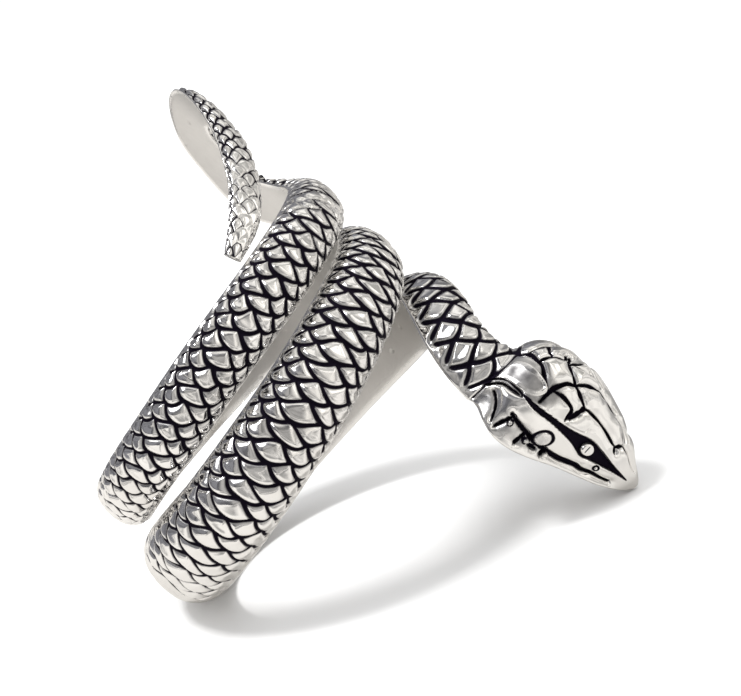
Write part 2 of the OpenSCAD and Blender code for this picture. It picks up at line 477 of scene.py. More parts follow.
def drawn(table, at):
    """Rows of a table at fractional row numbers, on a smooth curve through the rows.

    The curve is a cubic between each two rows. Its slope at a row is half the step from the row
    before to the row after, and the end rows count twice."""
    i = np.clip(np.floor(at).astype(int), 0, len(table) - 2)
    t = (at - i)[:, None]
    a, b, c, d = (table[np.clip(i + s, 0, len(table) - 1)] for s in (-1, 0, 1, 2))
    return 0.5 * (2 * b + (c - a) * t + (2 * a - 5 * b + 4 * c - d) * t**2
                  + (3 * b - a - 3 * c + d) * t**3)


def finely(table, steps):
    """A table's smooth curve as many rows, evenly spread over its row numbers"""
    return drawn(table, np.linspace(0, len(table) - 1, steps))


def read_off(at, known, table):
    """Every column of a table, read in straight lines between the known places of its rows"""
    return np.stack([np.interp(at, known, column) for column in table.T], -1)


def rounded(x):
    """x raised to the power that turns an ellipse into the snake's squarer section"""
    return np.sign(x) * np.abs(x) ** (2 / SQUARENESS)


def ease(low, high, x):
    """0 below low and 1 above high, with a smooth rise of 3 t^2 - 2 t^3 between them"""
    t = np.clip((x - low) / (high - low), 0, 1)
    return t * t * (3 - 2 * t)


def bell(x, middle, half_width):
    """1 at the middle, falling away as e to the minus square of the distance in half widths"""
    return np.exp(-((x - middle) / half_width) ** 2)


def ball(distance):
    """Height of a ball of radius 1 at a distance from its middle, and 0 outside it"""
    return np.sqrt(np.clip(1 - distance**2, 0, 1))


def between_edges(angles, span):
    """0 at both edges of a section and 1 between them, with a smooth rise over the given span"""
    low, high = span
    return ease(low, high, angles) * (1 - ease(180 - high, 180 - low, angles))


def unit(v):
    """Vectors drawn to a length of 1"""
    return v / np.linalg.norm(v, axis=-1, keepdims=True)


def sag(across):
    """Height of the finger's surface beside the middle of a section, which is 0 or less"""
    return np.sqrt(FINGER_R**2 - across**2) - FINGER_R


def on_finger(turn, along):
    """Points on the finger's surface, and the directions up and round from it"""
    t = np.radians(turn)
    zero = np.zeros_like(t)
    up = np.stack([zero, -np.sin(t), np.cos(t)], -1)
    round_it = np.stack([zero, -np.cos(t), -np.sin(t)], -1)
    base = np.stack([along, zero, zero], -1) + FINGER_R * up
    return base, up, round_it


def scale_length(width):
    """Length of a scale, which grows in a straight line with the body's width there"""
    return np.interp(width, [TAIL_WIDTH, FULL_WIDTH], [TAIL_SCALE_L, SCALE_L])


def counted(route, points):
    """Half scales from the tip of the tail to each point, made to end on a whole number"""
    steps = np.linalg.norm(np.diff(points, axis=0), axis=1)
    count = np.concatenate([[0], np.cumsum(2 * steps / scale_length(route[:-1, WIDTH]))])
    return count * int(count[-1]) / count[-1]


FINE_ROUTE = finely(ROUTE, ROUTE_STEPS)
ROUTE_POINTS = on_finger(FINE_ROUTE[:, TURN], FINE_ROUTE[:, ALONG])[0]
COUNT = counted(FINE_ROUTE, ROUTE_POINTS)
TOTAL = float(round(COUNT[-1]))


def section_angles(n):
    """Angles round a section from the far edge to the near one, closer together at both edges"""
    even = np.linspace(FIRST_EVEN_ANGLE, 180 - FIRST_EVEN_ANGLE, n - 2 * len(EDGE_ANGLES))
    return np.concatenate([EDGE_ANGLES, even, 180 - EDGE_ANGLES[::-1]])


def corner_round(across, height, half):
    """Draws a section's two lower corners in, so that they meet the finger hole in a quarter circle"""
    h = np.clip(height / EDGE_ROUND, 0, 1)
    inward = EDGE_ROUND * (1 - np.sqrt(1 - (1 - h) ** 2))
    share = np.clip(np.abs(across) / np.maximum(half, 1e-6), 0, 1)
    return across - np.sign(across) * np.minimum(inward, CORNER_SHARE * half) * share


def pushed_out(points):
    """Moves any point that lies within the finger hole straight out to the hole's wall"""
    r = np.linalg.norm(points[..., 1:], axis=-1)
    k = np.maximum(1, FINGER_R / np.maximum(r, 1e-6))
    return np.concatenate([points[..., :1], points[..., 1:] * k[..., None]], -1)


def under_side(base, side, up, low, half):
    """The inner face of each section: a straight line across, pushed out to the finger hole"""
    half_in = half - np.minimum(EDGE_ROUND, CORNER_SHARE * half)
    t = np.linspace(-1, 1, INNER_COLUMNS + 2)[1:-1]
    points = (base[:, None] + side[:, None] * (half_in[:, None] * t)[..., None]
              + up[:, None] * low[:, None, None])
    return pushed_out(points)


def sections(base, side, up, half, tall, chin, low, angles):
    """Closed sections over the finger: over the top at the given angles, then the inner face.

    At an angle a, a point lies across by half the width times cos a and stands up by the
    thickness times sin a, each raised to the section's power. It is lifted by the chin's
    height, and lowered with the finger's surface towards both edges."""
    a = np.radians(angles)
    across = half[:, None] * rounded(np.cos(a))
    height = tall[:, None] * rounded(np.sin(a))
    across = corner_round(across, height, half[:, None])
    height = height + chin[:, None] + low[:, None] * (1 - np.sin(a))
    outer = base[:, None] + side[:, None] * across[..., None] + up[:, None] * height[..., None]
    inner = under_side(base, side, up, low + chin, half)
    return np.concatenate([pushed_out(outer), inner], 1)


def body_skin(count, angles):
    """The plain body: sections on the finger, square to the route, and the route's rows there"""
    row = read_off(count, COUNT, FINE_ROUTE)
    base, up, round_it = on_finger(row[:, TURN], row[:, ALONG])
    before = read_off(count - 1, COUNT, ROUTE_POINTS)
    after = read_off(count + 1, COUNT, ROUTE_POINTS)
    side = unit(np.cross(up, after - before))
    half = row[:, WIDTH] / 2
    low = sag(np.sum(side * round_it, -1) * half)
    no_chin = np.zeros_like(half)
    return sections(base, side, up, half, row[:, THICK], no_chin, low, angles), row


def head_skin(share, angles):
    """The plain head: sections straight across the finger, to the outline in the table"""
    fine = finely(HEAD, HEAD_STEPS)
    row = read_off(share, fine[:, PLACE], fine)
    base, up, round_it = on_finger(row[:, HEAD_TURN], ROUTE[-1, ALONG] + row[:, PLACE] * HEAD_L)
    half = row[:, HALF] * HEAD_W / 2
    chin = row[:, CHIN] * HEAD_H
    tall = row[:, CROWN] * HEAD_H - chin
    return sections(base, -round_it, up, half, tall, chin, sag(half), angles)


def grid_normals(points):
    """Outward normals of a skin: the cross product of its directions round and along it"""
    along = np.gradient(points, axis=0)
    ring = np.roll(points, -1, 1) - np.roll(points, 1, 1)
    return unit(np.cross(ring, along) + 1e-12)


def hashed(i, j, draw):
    """A steady number from 0 to 1 for each scale and each draw: the fraction of a large sine"""
    x = np.sin(i * HASH_STEPS[0] + j * HASH_STEPS[1] + draw * HASH_STEPS[2]) * HASH_GAIN
    return x - np.floor(x)


def wave(m, q, sway, shape):
    """A slow sine wave over the lattice of scales, which dies away where the sway does"""
    height, along, across = shape
    return height * sway * np.sin(along * q + across * m)


def scale_at(m, q, power):
    """The scale that covers each place of the lattice, m columns across and q half scales along.

    Scales stand in staggered columns. Each one ends towards the head in the line
    q = centre + 1 - |m - column| ** power, and starts under the edges before it.
    Returns its column, its centre, and where the edge ahead and the edge behind lie."""
    left = np.floor(m)
    columns = (left, left + 1)
    ahead, behind, centres = [], [], []
    for c in columns:
        bow = 1 - np.abs(m - c) ** power
        k = 2 * np.ceil((q - bow - c) / 2) + c
        ahead.append(k + bow)
        behind.append(k + bow - 2)
        centres.append(k)
    first = ahead[0] <= ahead[1]
    column = np.where(first, *columns)
    centre = np.where(first, *centres)
    return column, centre, np.where(first, *ahead), np.maximum(*behind)


def border_rise(distance, size, by_neck, shape):
    """0 at a scale's border and 1 from its reach on: 1 less a power of what is left of the way"""
    reach, neck_less, power = shape
    return 1 - (1 - np.clip(distance / ((reach - neck_less * by_neck) * size), 0, 1)) ** power


def scale_top(column, centre, m, q, by_neck):
    """How each scale differs from the plain one, as a factor of its height.

    It leans by a random slope across and along, is dimpled by a bell round its middle, more
    often at the neck, and stands a little higher or lower."""
    lean = ((hashed(centre, column, ACROSS_DRAW) - 0.5) * (m - column)
            + (hashed(centre, column, ALONG_DRAW) - 0.5) * (q - centre))
    dimpled = DIMPLE_GAIN * (hashed(centre, column, DIMPLE_DRAW) - NO_DIMPLE_BELOW) + by_neck
    dimple = np.clip(dimpled, 0, 1) * bell(np.hypot(q - centre, m - column), 0, DIMPLE_R)
    scatter = HEIGHT_SCATTER * hashed(centre, column, HEIGHT_DRAW)
    return PLAIN_HEIGHT + LEAN * lean - DIMPLE * dimple + scatter


def worn_places(count, turn):
    """How worn the snake is, from 0 to 1: bells round two turns about the finger"""
    worn = bell(turn % 360, *WORN_UNDER)
    past_tail = ease(*PAST_TAIL, count / TOTAL)[:, None]
    return np.maximum(worn, WORN_BY_TAIL_MOST * past_tail * bell(turn, *WORN_BY_TAIL))


def cleaned(dark, where, draw, shape):
    """Takes tarnish off: a share of it from every scale, and all of it where the draw is high"""
    least, all_above = shape
    return dark * (1 - where * (least + (1 - least) * (draw > all_above)))


def scale_relief(count, angles, row):
    """How far each point of the body is sunk below the tops of its scales, and how dark it lies.

    A scale's height is the product of its rises from the edge ahead and the edge behind, with a
    tilt up to the front, a drop in its side corners and what varies from scale to scale. The
    grooves' depth follows the body's width, and is less where the snake is worn or thin.
    The dark falls off in a straight line with the distance to the nearer edge."""
    sway = np.sin(np.radians(angles))[None, :]
    m = (angles / COLUMN_ANGLE)[None, :]
    q = count[:, None]
    m, q = (m + wave(m, q, sway, SWAY_ACROSS[0]) + wave(m, q, sway, SWAY_ACROSS[1]),
            q + wave(m, q, sway, SWAY_ALONG))
    by_neck = ease(*NECK_SPAN, count / TOTAL)[:, None]
    power = BOW - NECK_BOW_LESS * by_neck
    column, centre, edge, back = scale_at(m, q, power)

    # Distances in millimetres, square to the bowed edges
    off = np.abs(m - column)
    pitch = scale_length(row[:, WIDTH])[:, None] / 2
    over_top = (row[:, WIDTH] / 2 + row[:, THICK])[:, None] * SECTION_ARC
    slope = power * off ** (power - 1) * pitch / (over_top / (180 / COLUMN_ANGLE))
    lean_in = 1 / np.sqrt(1 + slope**2)
    to_edge = (edge - q) * pitch * lean_in
    to_back = (q - back) * pitch * lean_in

    size = pitch / (SCALE_L / 2)
    dome = border_rise(to_edge, size, by_neck, FRONT_SHAPE) * border_rise(to_back, size, by_neck, REAR_SHAPE)
    tilt = FRONT_RISE * (1 - np.clip(to_edge / (2 * pitch), 0, 1))
    corner = ease(*CORNER_SPAN, np.hypot(q - centre, off))
    height = np.clip(dome * (REAR_HEIGHT + tilt) * (1 - CORNER_DROP * corner), 0, 1)
    height = height * scale_top(column, centre, m, q, by_neck)

    worn = worn_places(count, row[:, TURN][:, None])
    thin = 1 - ease(*THIN_SPAN, row[:, WIDTH])[:, None]
    depth = GROOVE * np.clip(row[:, WIDTH] / FULL_WIDTH, *DEPTH_LIMITS)[:, None]
    depth = depth * (1 - WORN_SHALLOW * worn) * (1 - THIN_SHALLOW * thin)
    at_edge = between_edges(angles, EDGE_SPAN)[None, :]
    sunk = depth * (1 - height) * at_edge

    near = np.minimum(to_edge, REAR_DARK[0] * to_back + REAR_DARK[1]) * (1 - DARK_CORNER * corner)
    dark = np.clip(1 - near / (DARK_REACH + NECK_DARK_MORE * by_neck), 0, 1) * at_edge
    dark = cleaned(dark, worn, hashed(centre, column, WORN_DRAW), WORN_CLEAN)
    dark = cleaned(dark, thin, hashed(centre, column, TAIL_DRAW), THIN_CLEAN)
    return sunk + TOP_SINK, dark


def twin(angle):
    """The angle of the same place on the far side of the head"""
    return MIDLINE * (180 - angle) / (180 - MIDLINE)


def as_it_is(angle):
    """The angle of a place on the near side of the head"""
    return angle


def smooth_line(points):
    """A smooth curve through the points of a groove, in short straight pieces"""
    table = np.array(points, float)
    return finely(table, (len(table) - 1) * LINE_STEPS + 1)


def head_lines():
    """Every groove between the plates as its name and its curve: both sides, then the middle.

    A near line's twin is made from those of its points that don't pass the crown's middle."""
    near_side = [(name, smooth_line(points)) for name, points in PLATE_LINES.items()]
    far_side = []
    for name, line in near_side:
        line = line[line[:, 1] >= MIDLINE]
        far_side.append((name, np.stack([line[:, 0], twin(line[:, 1])], -1)))
    middle = [(name, smooth_line(points)) for name, points in MIDDLE_LINES.items()]
    return near_side + far_side + middle


def line_width(line):
    """Share of a groove's full width at each of its points: less at both ends, wavering between"""
    t = np.linspace(0, 1, len(line))
    filled = LINE_ENDS + (1 - LINE_ENDS) * ease(0, LINE_TAPER, t) * (1 - ease(1 - LINE_TAPER, 1, t))
    share, radians, by_place = LINE_WAVER
    return filled * (1 + share * np.sin(radians * t + by_place * line[0, 0]))


def line_distance(grid, line, wide=None):
    """Distance in millimetres from every point of the head to the nearest piece of a line.

    The grid is the rows' places along the head, the columns' angles and the millimetres for
    each degree. The distance to a piece is divided by the line's share of full width there."""
    share, angles, per_degree = grid
    best = np.full(per_degree.shape, FAR_OFF)
    x = share[:, None] * HEAD_L
    if wide is None:
        wide = np.ones(len(line))
    for (s0, a0), (s1, a1), w0, w1 in zip(line[:-1], line[1:], wide[:-1], wide[1:]):
        rows = (share > min(s0, s1) - LINE_SPAN) & (share < max(s0, s1) + LINE_SPAN)
        g = per_degree[rows]
        px, py = x[rows] - s0 * HEAD_L, (angles[None, :] - a0) * g
        dx, dy = (s1 - s0) * HEAD_L, (a1 - a0) * g
        t = np.clip((px * dx + py * dy) / (dx**2 + dy**2 + 1e-9), 0, 1)
        to_piece = np.hypot(px - t * dx, py - t * dy) / (w0 + (w1 - w0) * t)
        best[rows] = np.minimum(best[rows], to_piece)
    return best


def offsets(grid, place, angle):
    """Millimetres along and round the head from one place on it to every point of the grid"""
    share, angles, per_degree = grid
    return (share[:, None] - place) * HEAD_L, (angles[None, :] - angle) * per_degree


def plates(grid):
    """The head's plates: bell-shaped grooves along the lines, with a swell on both sides of each"""
    near = np.full(grid[2].shape, FAR_OFF)
    for name, line in head_lines():
        weight = LINE_WEIGHT.get(name, 1.0)
        near = np.minimum(near, line_distance(grid, line, line_width(line)) / weight)
    sunk = LINE_DEPTH * bell(near, 0, LINE_HALF_WIDTH)
    sunk += sum(rise * np.exp(-near / reach) for rise, reach in PLATE_SWELL)
    dark = np.exp(-(near / DARK_LINE_HALF_WIDTH) ** 4)
    return sunk, dark


def with_channel(grid, sunk, dark, side):
    """The channel: a flat trough of changing width with sloped walls and a raised rim"""
    fine = finely(CHANNEL, CHANNEL_STEPS)
    wide = np.interp(grid[0], fine[:, 0], fine[:, 2], left=0, right=0)[:, None]
    line = np.stack([fine[:, 0], side(fine[:, 1])], -1)
    d = line_distance(grid, line) / np.maximum(wide, CHANNEL_LEAST)
    trough = 1 - ease(*CHANNEL_WALL, d)
    rim = CHANNEL_RIM * bell(d, *CHANNEL_RIM_AT) * ease(RIM_FROM, FULL_DEPTH_FROM, wide)
    sunk = sunk * (1 - trough) + CHANNEL_DEPTH * trough * ease(0, FULL_DEPTH_FROM, wide) - rim
    return sunk, np.maximum(dark * (1 - trough), trough)


def with_eye(grid, sunk, dark, side):
    """The eye: a ball that rises from the channel's floor, with a shallow slit across it, darkened as
    tarnish in the slit and as a painted reflection across the ball
    """
    place, angle = EYE
    d = np.hypot(*offsets(grid, place, side(angle))) / EYE_R
    on_eye = d < 1
    sunk = np.where(on_eye, CHANNEL_DEPTH - (CHANNEL_DEPTH + EYE_RISE) * ball(d), sunk)
    slit = bell((grid[0][:, None] - place + SLIT_BACK) * HEAD_L, 0, SLIT_HALF_WIDTH)
    slit = slit * (1 - ease(*SLIT_ENDS, d))
    dark = np.where(on_eye, np.maximum(ease(*EYE_DARK, d), SLIT_TARNISH_AND_REFLECTION * slit), dark)
    return sunk + SLIT_DEPTH * slit, dark


def with_round_mark(grid, sunk, dark, side, mark):
    """A round mark: a bell-shaped groove on a circle, with a low ball inside it"""
    place, angle, r, rise = mark
    d = np.hypot(*offsets(grid, place, side(angle)))
    ring = bell(d, r, MARK_LINE[0] + MARK_LINE[1] * r)
    inside = 1 - ease(MARK_MIDDLE * r, r, d)
    sunk = sunk * (1 - inside) - rise * inside * ball(d / r)
    return np.maximum(sunk, LINE_DEPTH * ring), np.maximum(dark * (1 - inside), ring)


def with_boss(grid, sunk, dark, side):
    """The temple's boss: a raised rim along a squarish oval, a low flat top and a heaped heel.

    The oval is where the sum of the shares of half length and half width, each raised to the
    boss's power, is 1. Its top and a band round it are darkened as painted shade, and all dark is taken off
    its rim, so that the rim stands out bright."""
    place, angle, half_long, half_wide, rise = TEMPLE_BOSS
    dx, dy = offsets(grid, place, side(angle))
    d = (np.abs(dx / half_long) ** BOSS_POWER + np.abs(dy / half_wide) ** BOSS_POWER) ** (1 / BOSS_POWER)
    from_rim = (d - 1) * np.hypot(dx, dy) / np.maximum(d, BOSS_MIDDLE)
    rim = bell(from_rim, 0, BOSS_RIM)
    on_top = 1 - ease(*BOSS_TOP_END, d)
    sunk = sunk * (1 - BOSS_SMOOTHS * np.maximum(on_top, rim)) - np.maximum(rise * rim, BOSS_TOP * on_top)
    heel = BOSS_HEEL * np.clip(-dx / half_long, 0, HEEL_REACH) ** 2 * (1 - ease(*HEEL_END, d))
    # Painted shade on the top and on a band round it, so that the rim reads as a bright edge
    dull = BOSS_TOP_SHADE * on_top + BOSS_BAND_SHADE * (1 - on_top) * (1 - ease(*BOSS_SHADE_END, d))
    return sunk - heel, np.maximum(dark, dull) * (1 - rim)


def with_bead(grid, sunk, dark, side, bead):
    """A small bright ball with a dark ring round it"""
    place, angle = bead
    d = np.hypot(*offsets(grid, place, side(angle))) / BEAD_R
    on_bead = d < 1
    sunk = np.where(on_bead, BEAD_SINK - BEAD_RISE * ball(d), sunk)
    return sunk, np.where(on_bead, 0, np.maximum(dark, bell(d, *BEAD_DARK)))


def head_relief(share, angles, skin):
    """How far each point of the head is sunk below its plain skin, and how dark it lies.

    The plates come first. Over them, on the near side as it is and on the far side as its twin,
    come the channel, the eye, the ring mark and the nostril, the temple's boss and the beads.
    Last come a painted shade over the jaw and the groove across the nape. The relief dies away
    at the snout's tip and at the jaws."""
    arc = np.linalg.norm(np.gradient(skin[:, :len(angles)], axis=1), axis=-1)
    per_degree = arc / np.gradient(angles)[None, :] + 1e-6
    grid = (share, angles, per_degree)
    sunk, dark = plates(grid)
    for side in (as_it_is, twin):
        sunk, dark = with_channel(grid, sunk, dark, side)
        sunk, dark = with_eye(grid, sunk, dark, side)
        for mark in (RING_MARK, NOSTRIL):
            sunk, dark = with_round_mark(grid, sunk, dark, side, mark)
        sunk, dark = with_boss(grid, sunk, dark, side)
        for bead in BEADS:
            sunk, dark = with_bead(grid, sunk, dark, side, bead)
    # Painted shade: the jaw is darkened towards its lower edge, fading out towards the snout
    jaw_shade = JAW_PAINTED_SHADE * ease(*JAW_SHADE_FROM, angles)[None, :] * (1 - ease(*JAW_SHADE_END, share))[:, None]
    nape = bell(share[:, None] * HEAD_L, *NAPE)
    sunk = np.maximum(sunk, NAPE_DEPTH * nape)
    dark = np.maximum(np.maximum(dark, jaw_shade), nape**2)
    keep = (1 - ease(*SNOUT_END, share))[:, None] * between_edges(angles, JAW_SPAN)[None, :]
    return np.maximum(sunk, -MOST_PROUD) * keep + TOP_SINK, dark * keep


def with_inner(mask):
    """Adds the inner face's columns to a mask of the outer ones"""
    return np.concatenate([mask, np.zeros((len(mask), INNER_COLUMNS))], 1)


def snake_rows(count, share, angles):
    """The whole skin over some rows of the body and some of the head.

    Each point is the plain skin's, moved in along its normal by the relief. The head's first rows
    ease from the neck's form and relief to its own.
    Returns the points, the outward normals, how dark each point lies and whether it is inner."""
    body, row = body_skin(count, angles)
    sunk, dark = scale_relief(count, angles, row)
    head = head_skin(share, angles)
    gap = body_skin(np.array([TOTAL]), angles)[0] - head_skin(np.array([0.0]), angles)
    head = head + gap * (1 - ease(0, FORM_BLEND, share))[:, None, None]
    head_sunk, head_dark = head_relief(share, angles, head)
    neck_sunk, neck_dark = scale_relief(np.array([TOTAL]), angles, row[-1:])
    fade = (1 - ease(0, RELIEF_BLEND, share))[:, None]
    head_sunk = head_sunk * (1 - fade) + neck_sunk * fade
    head_dark = head_dark * (1 - fade) + neck_dark * fade
    plain = np.concatenate([body, head])
    sunk = with_inner(np.concatenate([sunk, head_sunk]))
    dark = with_inner(np.concatenate([dark, head_dark]))
    points = plain - grid_normals(plain) * sunk[..., None]
    inner = np.zeros(sunk.shape)
    inner[:, len(angles):] = 1
    return points, grid_normals(points), dark, inner


def laid_down():
    """Turns the ring's own directions into the floor's: spun about the finger, then tipped over"""
    s, t = np.radians(SPIN), np.radians(TIP)
    spin = np.array([[1, 0, 0], [0, np.cos(s), -np.sin(s)], [0, np.sin(s), np.cos(s)]])
    tip = np.array([[np.cos(t), 0, np.sin(t)], [0, 1, 0], [-np.sin(t), 0, np.cos(t)]])
    return tip @ spin


REST = laid_down()


def in_scene(made):
    """Puts a new object into the scene"""
    bpy.context.scene.collection.objects.link(made)
    return made


def piece(name, skin, first, last):
    """One closed stretch of the skin as an object, with a fan of triangles over each end"""
    points, normals, dark, inner = (layer[first:last + 1] for layer in skin)
    rows, ring = points.shape[:2]
    a = np.arange(rows * ring).reshape(rows, ring)
    b = np.roll(a, -1, 1)
    quads = np.stack([a[:-1], b[:-1], b[1:], a[1:]], -1).reshape(-1, 4)
    tail_hub, head_hub = rows * ring, rows * ring + 1
    start = np.stack([b[0], a[0], np.full(ring, tail_hub)], -1)
    end = np.stack([a[-1], b[-1], np.full(ring, head_hub)], -1)
    hubs = np.stack([points[0].mean(0), points[-1].mean(0)])
    place = np.concatenate([points.reshape(-1, 3), hubs]) @ REST.T * MM
    mesh = bpy.data.meshes.new(name)
    mesh.vertices.add(len(place))
    mesh.vertices.foreach_set("co", place.ravel())
    loops = np.concatenate([quads.ravel(), start.ravel(), end.ravel()])
    sizes = np.concatenate([np.full(len(quads), 4), np.full(2 * ring, 3)])
    mesh.loops.add(len(loops))
    mesh.loops.foreach_set("vertex_index", loops)
    mesh.polygons.add(len(sizes))
    mesh.polygons.foreach_set("loop_start", np.concatenate([[0], np.cumsum(sizes)[:-1]]))
    mesh.update(calc_edges=True)
    for label, values in ((TARNISH_AND_SHADE_LAYER, dark), (INNER_LAYER, inner)):
        layer = mesh.attributes.new(label, "FLOAT", "POINT")
        layer.data.foreach_set("value", np.append(values.ravel(), [0, 0]).astype(np.float32))
    mesh.shade_smooth()
    ends = np.stack([normals[0].mean(0), normals[-1].mean(0)])
    lean = unit(np.concatenate([normals.reshape(-1, 3), ends]) @ REST.T)
    mesh.normals_split_custom_set_from_vertices(lean.astype(np.float32))
    return in_scene(bpy.data.objects.new(name, mesh))


def stretch(name, low, high, angles):
    """One closed stretch of the body, with a row beyond each cut for the normals there"""
    first, last = round(low * TOTAL), round(high * TOTAL)
    rows = (last - first) * ROWS_PER_SCALE // 2 + 1
    step = (last - first) / (rows - 1)
    count = first + step * np.arange(-1, rows + 1)
    count = count[(count > -1e-6) & (count < TOTAL + 1e-6)]
    skin = snake_rows(np.clip(count, 0, TOTAL), HEAD_RUN_ON, angles)
    start = 1 if first > 0 else 0
    return piece(name, skin, start, start + rows - 1)


def make_snake():
    """The body in four closed stretches and the head, which meet edge to edge"""
    angles = section_angles(BODY_ANGLES)
    made = [stretch(name, low, high, angles) for name, (low, high) in STRETCHES.items()]
    share = 1 - (1 - np.linspace(0, 1, HEAD_ROWS)) ** SNOUT_CROWDING
    skin = snake_rows(TOTAL - NECK_RUN_UP, share[1:], section_angles(HEAD_ANGLES))
    made.append(piece("head", skin, len(NECK_RUN_UP) - 1, len(skin[0]) - 1))
    return made


def effect(name, inputs, outputs):
    """A new node group with its inputs at their usual values and its outputs by their kind"""
    group = bpy.data.node_groups.new(name, "ShaderNodeTree")
    for label, value in inputs.items():
        made = group.interface.new_socket(name=label, in_out="INPUT", socket_type="NodeSocketFloat")
        made.default_value = value
    for label, kind in outputs.items():
        group.interface.new_socket(name=label, in_out="OUTPUT", socket_type=kind)
    return group, group.nodes.new("NodeGroupInput").outputs


def node(tree, kind, inputs=None, **settings):
    """A node with its settings, and its inputs by name or number as values or as links"""
    made = tree.nodes.new(kind)
    for name, value in settings.items():
        setattr(made, name, value)
    for key, value in (inputs or {}).items():
        if isinstance(value, bpy.types.NodeSocket):
            tree.links.new(value, made.inputs[key])
        else:
            made.inputs[key].default_value = value
    return made


def maths(tree, operation, *values):
    """The result of one operation on values or links"""
    return node(tree, "ShaderNodeMath", dict(enumerate(values)), operation=operation).outputs[0]


def spread(tree, value, span, onto=(0.0, 1.0), interpolation_type="LINEAR"):
    """A value's place between two limits, drawn out onto two others"""
    inputs = dict(enumerate((value, *span, *onto)))
    return node(tree, "ShaderNodeMapRange", inputs, interpolation_type=interpolation_type).outputs[0]


def noise(tree, place, scale, detail):
    """A cloudy pattern from 0 to 1"""
    inputs = {"Vector": place, "Scale": scale, "Detail": detail}
    return node(tree, "ShaderNodeTexNoise", inputs).outputs[0]


def mixed(tree, share, one, two):
    """A colour between two, each a link or red, green and blue"""
    one, two = (c if isinstance(c, bpy.types.NodeSocket) else (*c, 1) for c in (one, two))
    return node(tree, "ShaderNodeMix", {0: share, 6: one, 7: two}, data_type="RGBA").outputs[2]


def mottled(tree, place, look):
    """A cloudy pattern whose values turn from one colour to another"""
    pattern, stops = look
    made = node(tree, "ShaderNodeValToRGB", {0: noise(tree, place, *pattern)})
    for element, (at, colour) in zip(made.color_ramp.elements, stops):
        element.position = at
        element.color = (*colour, 1)
    return made.outputs[0]


def tarnish_and_shade_effect():
    """Where the metal is dark: tarnish in the grooves and the painted shade and reflection that share its
    mask, with a ragged edge, and a thin veil of tarnish over the rest
    """
    inputs = {"Darkness": 0.0, "Raggedness": RAGGEDNESS, "Veil": 0.0, "Satin": 0.0}
    group, given = effect("tarnish", inputs, {"Mask": "NodeSocketFloat", "Metal": "NodeSocketColor"})
    place = group.nodes.new("ShaderNodeTexCoord").outputs["Object"]
    patches = noise(group, place, *PATCHES)
    clouds = noise(group, place, *CLOUDS)
    swing = maths(group, "MULTIPLY", maths(group, "SUBTRACT", patches, 0.5), given["Raggedness"])
    edge = maths(group, "ADD", given["Darkness"], swing)
    mask = spread(group, edge, TARNISH_SPAN, interpolation_type="SMOOTHSTEP")
    veil = maths(group, "MULTIPLY", spread(group, clouds, CLOUD_SPAN), given["Veil"])
    bright = mixed(group, veil, POLISHED, VEILED)
    clean = mixed(group, given["Satin"], bright, SATIN)
    node(group, "NodeGroupOutput", {"Mask": mask, "Metal": mixed(group, mask, clean, TARNISH_AND_SHADE_COLOUR)})
    return group


def wear_effect():
    """Fine polishing marks and soft waves of a hand-finished casting, and pits in its satin"""
    outputs = {"Roughness": "NodeSocketFloat", "Height": "NodeSocketFloat"}
    group, given = effect("casting_wear", {"Satin": 0.0}, outputs)
    satin = given["Satin"]
    place = group.nodes.new("ShaderNodeTexCoord").outputs["Object"]
    drawn_out = {"Vector": place, "Rotation": MARK_TURN, "Scale": MARK_STRETCH}
    marks = noise(group, node(group, "ShaderNodeMapping", drawn_out).outputs[0], *MARKS)
    waves = noise(group, place, *WAVES)
    pits = node(group, "ShaderNodeTexVoronoi", {"Vector": place, "Scale": PIT_SCALE})
    pits = spread(group, pits.outputs["Distance"], PIT_SPAN)
    polished = spread(group, marks, MARK_SPAN, POLISHED_ROUGHNESS)
    dull = spread(group, marks, MARK_SPAN, SATIN_ROUGHNESS)
    roughness = node(group, "ShaderNodeMix", {0: satin, 2: polished, 3: dull}).outputs[0]
    fine = maths(group, "MULTIPLY", marks, MARK_HEIGHT)
    soft = maths(group, "MULTIPLY_ADD", waves, WAVE_HEIGHT, fine)
    holes = maths(group, "MULTIPLY", pits, satin)
    height = maths(group, "MULTIPLY_ADD", holes, PIT_HEIGHT, soft)
    node(group, "NodeGroupOutput", {"Roughness": roughness, "Height": height})
    return group


def silver(name, tarnish, wear, veil, bump):
    """Polished silver with dark tarnish in its grooves, the same dark standing as painted shade and
    reflection where its mask carries them, and a satin finish inside the finger hole
    """
    made = bpy.data.materials.new(name)
    made.use_nodes = True
    tree = made.node_tree
    shader = tree.nodes["Principled BSDF"]
    shader.inputs["Metallic"].default_value = 1.0
    groove = node(tree, "ShaderNodeAttribute", attribute_name=TARNISH_AND_SHADE_LAYER).outputs["Fac"]
    inner = node(tree, "ShaderNodeAttribute", attribute_name=INNER_LAYER).outputs["Fac"]
    tarnish_and_shade_node = node(tree, "ShaderNodeGroup", {"Darkness": groove, "Veil": veil, "Satin": inner}, node_tree=tarnish)
    finish = node(tree, "ShaderNodeGroup", {"Satin": inner}, node_tree=wear)
    rough = {0: tarnish_and_shade_node.outputs["Mask"], 2: finish.outputs["Roughness"], 3: TARNISH_ROUGHNESS}
    height = {"Height": finish.outputs["Height"], "Distance": bump * MM, "Strength": 1.0}
    tree.links.new(tarnish_and_shade_node.outputs["Metal"], shader.inputs["Base Color"])
    tree.links.new(node(tree, "ShaderNodeMix", rough).outputs[0], shader.inputs["Roughness"])
    tree.links.new(node(tree, "ShaderNodeBump", height).outputs[0], shader.inputs["Normal"])
    return made


def placed(made, across, up, back, place):
    """Stands an object at a place with its own axes along the given directions"""
    axes = np.eye(4)
    axes[:3, 0], axes[:3, 1], axes[:3, 2], axes[:3, 3] = across, up, back, place
    made.matrix_world = Matrix(axes.tolist())
    return in_scene(made)


